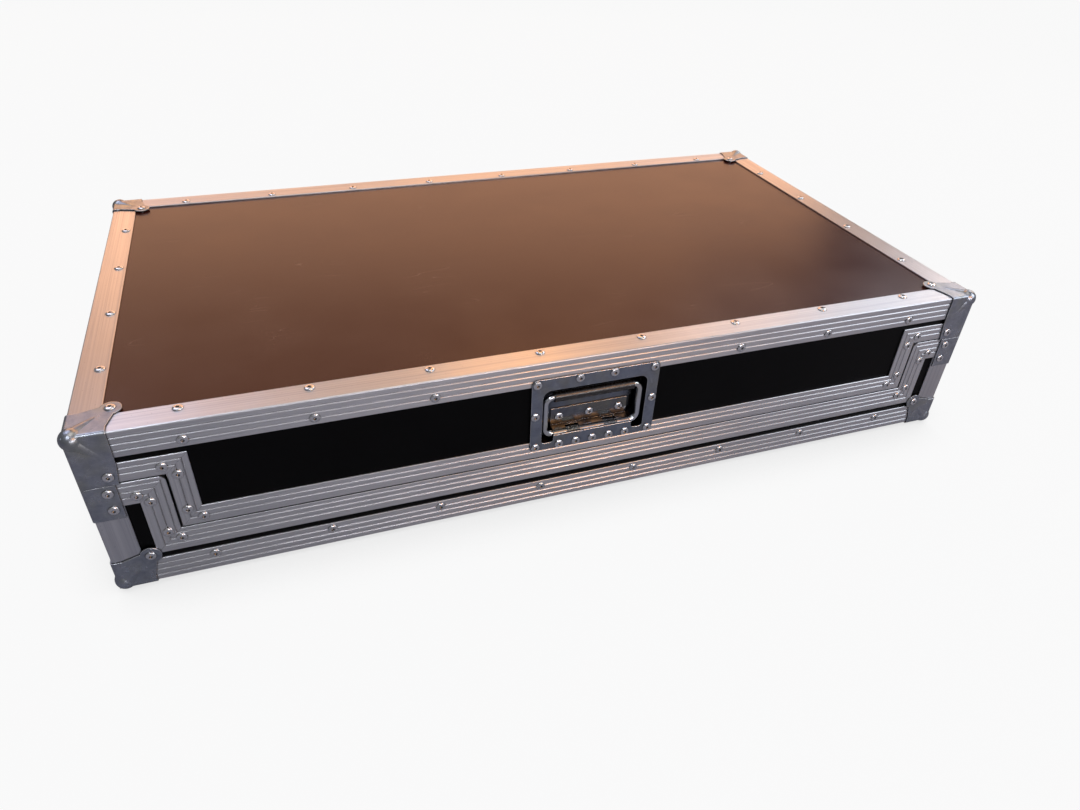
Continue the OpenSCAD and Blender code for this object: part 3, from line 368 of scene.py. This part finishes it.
grip_low, grip_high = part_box("handle_grip")
grip_middle = (grip_low + grip_high) / 2
grip_radius = (grip_high.z - grip_low.z) / 2
grip_bore = 0.00355
ring_count, ring_sides = 48, 40
ring_depth = 0.00022
ring_pitch = (grip_high.x - grip_low.x) / ring_count
near = ring_pitch / 8
bpy.ops.object.select_all(action="DESELECT")
bpy.ops.mesh.primitive_cylinder_add(
    vertices=ring_sides, radius=grip_radius - ring_depth, depth=ring_pitch, end_fill_type="NOTHING",
    location=(grip_low.x + ring_pitch / 2, grip_middle.y, grip_middle.z),
    rotation=(0, math.radians(90), 0))
grip = bpy.context.object
grip.name = "grip_sleeve"
bpy.ops.object.transform_apply(location=True, rotation=True, scale=True)
bpy.ops.object.mode_set(mode="EDIT")
bpy.ops.mesh.select_all(action="SELECT")
bpy.ops.mesh.bisect(plane_co=(grip_low.x + ring_pitch / 2, 0, 0), plane_no=(1, 0, 0))
select_vertices(grip, lambda at: abs(at.x - grip_low.x - ring_pitch / 2) < near)
swell = grip_radius / (grip_radius - ring_depth)
bpy.ops.transform.resize(value=(1, swell, swell), center_override=grip_middle)
bpy.ops.object.mode_set(mode="OBJECT")
rings = grip.modifiers.new("rings", "ARRAY")
rings.count = ring_count
rings.use_relative_offset = False
rings.use_constant_offset = True
rings.constant_offset_displace = (ring_pitch, 0, 0)
rings.use_merge_vertices = True
rings.merge_threshold = near / 2
bpy.ops.object.modifier_apply(modifier="rings")
for end_x in (grip_low.x, grip_high.x):
    select_vertices(grip, lambda at: abs(at.x - end_x) < near)
    shrink = grip_bore / (grip_radius - ring_depth)
    bpy.ops.mesh.extrude_region_move()
    bpy.ops.transform.resize(value=(1, shrink, shrink), center_override=(
        end_x, grip_middle.y, grip_middle.z))
    bpy.ops.object.mode_set(mode="OBJECT")
select_vertices(grip, lambda at: math.hypot(
    at.y - grip_middle.y, at.z - grip_middle.z) < grip_bore + near)
bpy.ops.mesh.bridge_edge_loops()
bpy.ops.mesh.select_all(action="SELECT")
bpy.ops.mesh.normals_make_consistent(inside=False)
bpy.ops.object.mode_set(mode="OBJECT")
bpy.ops.object.shade_smooth_by_angle(angle=math.radians(50))


def soft_pvc(name):
    """Soft PVC: near black and half dull, with a fine grain and paler dust in its rings."""
    grain_size, dust_size = 0.8, 7.0
    made, output, place = new_material(name)
    grain = add(made, "TexNoise", {"Scale": per_mm(grain_size), "Detail": 2.0}, {"Vector": place})
    dust = add(made, "TexNoise", {"Scale": per_mm(dust_size), "Detail": 3.0}, {"Vector": place})
    dusty = add(made, "MapRange", {"From Min": 0.45, "From Max": 0.75, "To Max": 0.35},
                {"Value": dust.outputs[0]})
    colour = add(made, "Mix", {"data_type": "RGBA", 6: linear("#110e0c"), 7: linear("#4a3d35")},
                 {0: dusty.outputs[0]})
    rough = add(made, "MapRange", {"From Min": 0.3, "From Max": 0.7, "To Min": 0.16,
                "To Max": 0.3}, {"Value": grain.outputs[0]})
    surface = add(made, "Bump", {"Strength": 0.7, "Distance": 0.0002},
                  {"Height": grain.outputs[0]})
    shader = add(made, "BsdfPrincipled", {"IOR": 1.53, "Specular IOR Level": 1.0},
                 {"Base Color": colour.outputs[2], "Roughness": rough.outputs[0],
                  "Normal": surface.outputs[0]})
    made.node_tree.links.new(shader.outputs[0], output.inputs["Surface"])
    return made


grip.data.materials.append(soft_pvc("soft_pvc_grip"))
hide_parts("handle_grip")
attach(grip, "handle")


# Foam pads
# Open-cell polyether foam, sliced from a block and cut with a knife, glued to the floor, the
# walls and the lid. Its cut edges are a little soft and its faces not quite flat.

def open_cell_foam(name):
    """Open-cell foam: charcoal, with no gloss, and pitted all over by cut cells. The real
    cells are under a millimetre, too fine to show, so they are drawn at 1.8 mm."""
    cell_size, patch_size = 1.8, 60.0
    made, output, place = new_material(name)
    cells = add(made, "TexVoronoi", {"Scale": per_mm(cell_size)}, {"Vector": place})
    patches = add(made, "TexNoise", {"Scale": per_mm(patch_size), "Detail": 3.0},
                  {"Vector": place})
    pit = add(made, "MapRange", {"From Min": 0.15, "From Max": 0.6},
              {"Value": cells.outputs["Distance"]})
    patched = add(made, "MapRange", {"From Min": 0.35, "From Max": 0.7, "To Max": 0.35},
                  {"Value": patches.outputs[0]})
    # The pits are painted darker than the cell walls, a painted shade in the cells
    walls = add(made, "Mix", {"data_type": "RGBA", 6: linear("#1d1e20"), 7: linear("#5a5c60")},
                {0: pit.outputs[0]})
    colour = add(made, "Mix", {"data_type": "RGBA", 7: linear("#66676a")},
                 {0: patched.outputs[0], 6: walls.outputs[2]})
    surface = add(made, "Bump", {"Strength": 0.8, "Distance": 0.0005},
                  {"Height": pit.outputs[0]})
    shader = add(made, "BsdfPrincipled", {"Roughness": 0.95, "IOR": 1.45,
                 "Specular IOR Level": 0.2},
                 {"Base Color": colour.outputs[2], "Normal": surface.outputs[0]})
    made.node_tree.links.new(shader.outputs[0], output.inputs["Surface"])
    return made


foam = open_cell_foam("open_cell_foam")
foam_gap, foam_round, foam_step, foam_wave, wave_length = 0.0005, 0.0022, 0.02, 0.0008, 0.07
waves = bpy.data.textures.new("foam_waves", "CLOUDS")
waves.noise_scale = wave_length


def foam_pad(node, body):
    """A slab in the node's space, with soft edges and faces that wave a little."""
    low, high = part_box(node)
    bpy.ops.object.select_all(action="DESELECT")
    bpy.ops.mesh.primitive_cube_add(size=1, location=(low + high) / 2)
    pad = bpy.context.object
    pad.name = "cut_" + node
    pad.scale = [high[i] - low[i] - 2 * foam_gap for i in range(3)]
    bpy.ops.object.transform_apply(location=True, rotation=True, scale=True)
    bpy.ops.object.mode_set(mode="EDIT")
    bpy.ops.mesh.select_all(action="SELECT")
    bpy.ops.mesh.bevel(offset=foam_round, segments=3, affect="EDGES")
    for axis in range(3):
        cuts = int((high[axis] - low[axis]) / foam_step)
        bpy.ops.object.mode_set(mode="OBJECT")
        for face in pad.data.polygons:
            face.select = False
        for vertex in pad.data.vertices:
            vertex.select = False
        for edge in pad.data.edges:
            start, end = (pad.data.vertices[v].co for v in edge.vertices)
            edge.select = abs(end[axis] - start[axis]) > 2 * foam_round
        bpy.ops.object.mode_set(mode="EDIT")
        bpy.ops.mesh.select_mode(type="EDGE")
        if cuts:
            bpy.ops.mesh.subdivide(number_cuts=cuts)
    bpy.ops.mesh.select_mode(type="VERT")
    bpy.ops.mesh.select_all(action="SELECT")
    bpy.ops.mesh.normals_make_consistent(inside=False)
    bpy.ops.object.mode_set(mode="OBJECT")
    wave = pad.modifiers.new("wave", "DISPLACE")
    wave.texture = waves
    wave.texture_coords = "LOCAL"
    wave.strength = foam_wave
    bpy.ops.object.modifier_apply(modifier="wave")
    bpy.ops.object.shade_smooth_by_angle(angle=math.radians(60))
    pad.data.materials.append(foam)
    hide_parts(node)
    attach(pad, body)


foam_pad("lid_foam", "lid")
for node in ("floor_foam_pad", "left_foam_pad", "right_foam_pad", "back_foam_pad"):
    foam_pad(node, "base")


# Floor and backdrop
# A plain pale floor that the camera and the metal see as white. Near the case its white is
# painted darker, a painted shadow, and a faint share of the case's own soft shadow shows too.

floor_size, floor_gap, mottle_size, shadow_reach = 14.0, 0.0004, 400.0, 0.1
white_to_camera, white_to_metal = 0.94, 0.04
bpy.ops.object.select_all(action="DESELECT")
bpy.ops.mesh.primitive_plane_add(size=floor_size, location=(0, 0, -floor_gap))
floor = bpy.context.object
floor.name = "studio_floor"
floor_paint, floor_output, floor_place = new_material("matt_white_floor")
mottle = add(floor_paint, "TexNoise", {"Scale": per_mm(mottle_size), "Detail": 2.0},
             {"Vector": floor_place})
floor_colour = add(floor_paint, "Mix", {"data_type": "RGBA", 6: linear("#828590"),
                   7: linear("#8a8d97")}, {0: mottle.outputs[0]})
matt = add(floor_paint, "BsdfDiffuse", {}, {"Color": floor_colour.outputs[2]})
# Painted shadow: the white is painted darker where the case hides the floor's sky
above = add(floor_paint, "AmbientOcclusion", {"samples": 8, "Distance": shadow_reach}, {})
white_under_painted_shadow = add(floor_paint, "MapRange", {"From Min": 0.3, "From Max": 0.8, "To Min": 0.8},
          {"Value": above.outputs["AO"]})
white = add(floor_paint, "Emission", {"Color": (1, 1, 1, 1)}, {"Strength": white_under_painted_shadow.outputs[0]})
seen = add(floor_paint, "LightPath", {}, {})
in_gloss = add(floor_paint, "Math", {"operation": "MAXIMUM"},
               {0: seen.outputs["Is Glossy Ray"], 1: seen.outputs["Is Transmission Ray"]})
gloss_share = add(floor_paint, "Math", {"operation": "MULTIPLY", 1: white_to_metal},
                  {0: in_gloss.outputs[0]})
white_share = add(floor_paint, "Math", {"operation": "MULTIPLY_ADD", 1: white_to_camera},
                  {0: seen.outputs["Is Camera Ray"], 2: gloss_share.outputs[0]})
floor_mix = add(floor_paint, "MixShader", {}, {0: white_share.outputs[0], 1: matt.outputs[0],
                2: white.outputs[0]})
floor_paint.node_tree.links.new(floor_mix.outputs[0], floor_output.inputs["Surface"])
floor.data.materials.append(floor_paint)


# Studio light
# Broad softboxes: two warm panels behind the case, which the lid's top and its edges mirror,
# cool ones overhead, at the right and in front, and small bright ones in front that the
# rivets, the balls and the bail mirror as sharp highlights.

case_middle = (0.0, 0.0, 0.1)
lid_height = (0.0, 0.0, 0.15)


def softbox(name, place, size, colour, glow, aim=case_middle):
    """An area lamp facing aim; glow is its brightness, where 1 shows as white."""
    lamp = bpy.data.lights.new(name, "AREA")
    lamp.shape = "RECTANGLE"
    lamp.size, lamp.size_y = size
    lamp.color = linear(colour)[:3]
    lamp.energy = glow * math.pi * lamp.size * lamp.size_y
    holder = bpy.data.objects.new(name, lamp)
    bpy.context.collection.objects.link(holder)
    holder.location = place
    holder.visible_camera = False
    holder.rotation_euler = (Vector(aim) - Vector(place)).to_track_quat("-Z", "Y").to_euler()


softbox("warm_low", (0.45, 2.7, 0.92), size=(4.2, 1.15), colour="#ffba8a", glow=1.45,
        aim=(0.1, 0, 0.15))
softbox("warm_high", (0.1, 2.2, 1.75), size=(3.2, 0.8), colour="#ffb884", glow=0.65, aim=lid_height)
softbox("warm_patch", (0.62, 1.5, 1.95), size=(0.6, 0.5), colour="#ffae5c", glow=3.2)
softbox("right_patch", (1.65, 1.6, 1.95), size=(0.6, 0.5), colour="#ffdccc", glow=2.4)
softbox("overhead", (0.2, -0.1, 2.7), size=(2.2, 1.4), colour="#fff4e8", glow=1.0)
softbox("left_overhead", (-1.1, 0.9, 2.1), size=(1.4, 1.2), colour="#dfe2ff", glow=1.8)
softbox("right_overhead", (2.2, 0.9, 1.9), size=(1.3, 1.2), colour="#ecf2ff", glow=1.7)
softbox("right_side", (2.5, 0.72, 1.05), size=(1.2, 1.0), colour="#ffdcc2", glow=1.5)
softbox("front_above", (-0.2, -1.7, 2.1), size=(3.2, 1.3), colour="#f3efff", glow=0.35)
softbox("key", (-0.9, -1.3, 1.9), size=(0.4, 0.4), colour="#eef4ff", glow=9.0)
softbox("front_low", (0.4, -2.4, 0.7), size=(1.7, 0.26), colour="#fbf8ff", glow=7.5)
softbox("front_warm", (0.7, -1.8, 1.2), size=(0.7, 0.4), colour="#ffb060", glow=5.2)
softbox("front_right", (1.9, -1.2, 1.4), size=(1.4, 1.4), colour="#eef3ff", glow=2.2)

# The world is white to the camera, a dim grey as a light, and a little brighter in metal
world_light, more_in_metal = 0.14, 0.02
world = bpy.data.worlds.new("studio")
world.use_nodes = True
world.node_tree.nodes.clear()
world_output = add(world, "OutputWorld", {}, {})
sight = add(world, "LightPath", {}, {})
in_metal = add(world, "Math", {"operation": "MAXIMUM"},
               {0: sight.outputs["Is Glossy Ray"], 1: sight.outputs["Is Transmission Ray"]})
metal_share = add(world, "Math", {"operation": "MULTIPLY_ADD", 1: more_in_metal,
                  2: world_light}, {0: in_metal.outputs[0]})
strength = add(world, "Math", {"operation": "MAXIMUM"},
               {0: sight.outputs["Is Camera Ray"], 1: metal_share.outputs[0]})
sky = add(world, "Background", {"Color": (1, 1, 1, 1)}, {"Strength": strength.outputs[0]})
world.node_tree.links.new(sky.outputs[0], world_output.inputs["Surface"])
bpy.context.scene.world = world


# Camera
# It stands to the left of the middle, at arm's length from the front, and looks down and to
# the right. Its place and turn were worked out from the straight edges in the photograph.

camera_place = (-0.2903, -0.8735, 0.5979)
heading, dip, roll = math.radians(20.84), math.radians(35.69), math.radians(2.65)
lens = bpy.data.cameras.new("camera")
lens.sensor_width = 36.0
lens.lens = 25.943
camera = bpy.data.objects.new("camera", lens)
bpy.context.collection.objects.link(camera)
turn = Matrix.Rotation(-heading, 3, "Z") @ Matrix.Rotation(math.pi / 2 - dip, 3, "X")
camera.rotation_euler = (turn @ Matrix.Rotation(roll, 3, "Z")).to_euler()
camera.location = camera_place
bpy.context.scene.camera = camera
bpy.context.scene.view_settings.view_transform = "Standard"

bpy.context.view_layer.update()
